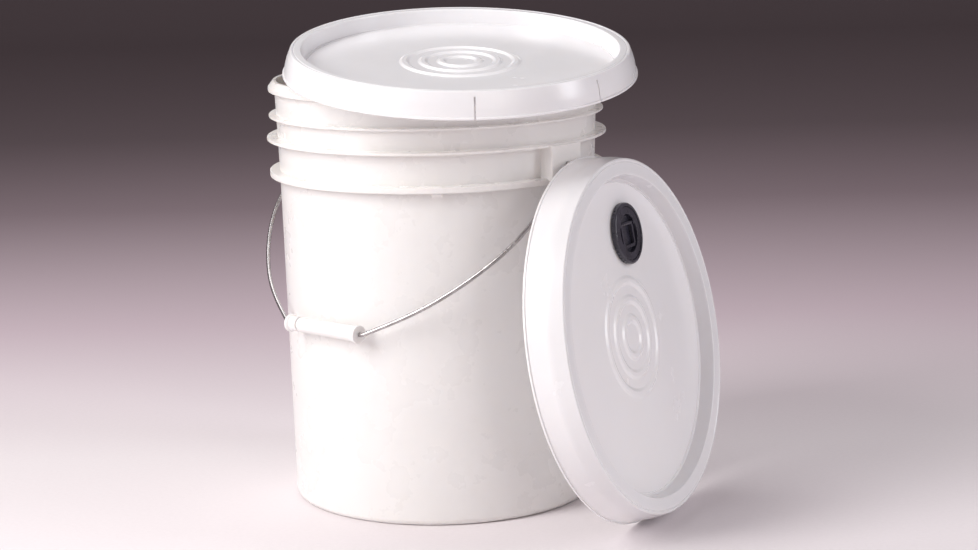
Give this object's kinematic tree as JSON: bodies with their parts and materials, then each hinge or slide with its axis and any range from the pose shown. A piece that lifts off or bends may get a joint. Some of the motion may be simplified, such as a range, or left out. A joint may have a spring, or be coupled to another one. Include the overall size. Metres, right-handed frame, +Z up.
{
  "type": "fermenting bucket",
  "caption": "Round white plastic fermenting bucket with wire bail, a lid set askew on the rim and a second lid with a pull-out closure leaning on it.",
  "frame": {"origin": "centre of the bucket's base on the floor", "axes": "+Z up along the bucket's axis; +X along the bail's pivot axis, towards the ear the spout lid leans on; the bail hangs on the -Y side"},
  "size_m": [0.441, 0.3674, 0.4497],
  "materials": {
    "bucket_plastic": "satin, slightly translucent",
    "lid_plastic": "satin",
    "grip_plastic": "satin",
    "steel_wire": "bright zinc plated",
    "closure_plastic": "moulded",
    "gasket_rubber": "matt"
  },
  "bodies": {
    "bucket": {"bucket_shell": "bucket_plastic"},
    "bail": {"bail_wire": "steel_wire"},
    "grip": {"bail_grip": "grip_plastic"},
    "loose_lid": {"top_lid": "lid_plastic", "top_lid_gasket": "gasket_rubber"},
    "leaning_lid": {"spout_lid": "lid_plastic", "spout_lid_gasket": "gasket_rubber", "closure_collar": "closure_plastic", "closure_gasket": "gasket_rubber"},
    "plug": {"closure_plug": "closure_plastic", "plug_seal": "gasket_rubber"},
    "ring": {"pull_ring": "closure_plastic"}
  },
  "joints": [
    {"name": "bail_swing", "type": "hinge", "parent": "bucket", "child": "bail", "pos_m": [0, 0, 0.323], "axis": [-1, 0, 0], "range_deg": [0, 56]},
    {"name": "grip_spin", "type": "hinge", "parent": "bail", "child": "grip", "pos_m": [0, -0.15244, 0.17856], "axis": [1, 0, 0], "continuous": true},
    {"name": "lid_lift", "type": "slide", "parent": "bucket", "child": "loose_lid", "axis": [0, 0, 1], "range_m": [0, 0.15]},
    {"name": "leaning_lid_draw", "type": "slide", "parent": "bucket", "child": "leaning_lid", "axis": [1, 0, 0], "range_m": [0, 0.15]},
    {"name": "plug_pull", "type": "slide", "parent": "leaning_lid", "child": "plug", "axis": [0.9493, 0.2561, 0.1822], "range_m": [0, 0.03]},
    {"name": "ring_flip", "type": "hinge", "parent": "plug", "child": "ring", "pos_m": [0.19321, 0.04043, 0.2659], "axis": [0.2605, -0.9655, 0], "range_deg": [0, 90]}
  ]
}
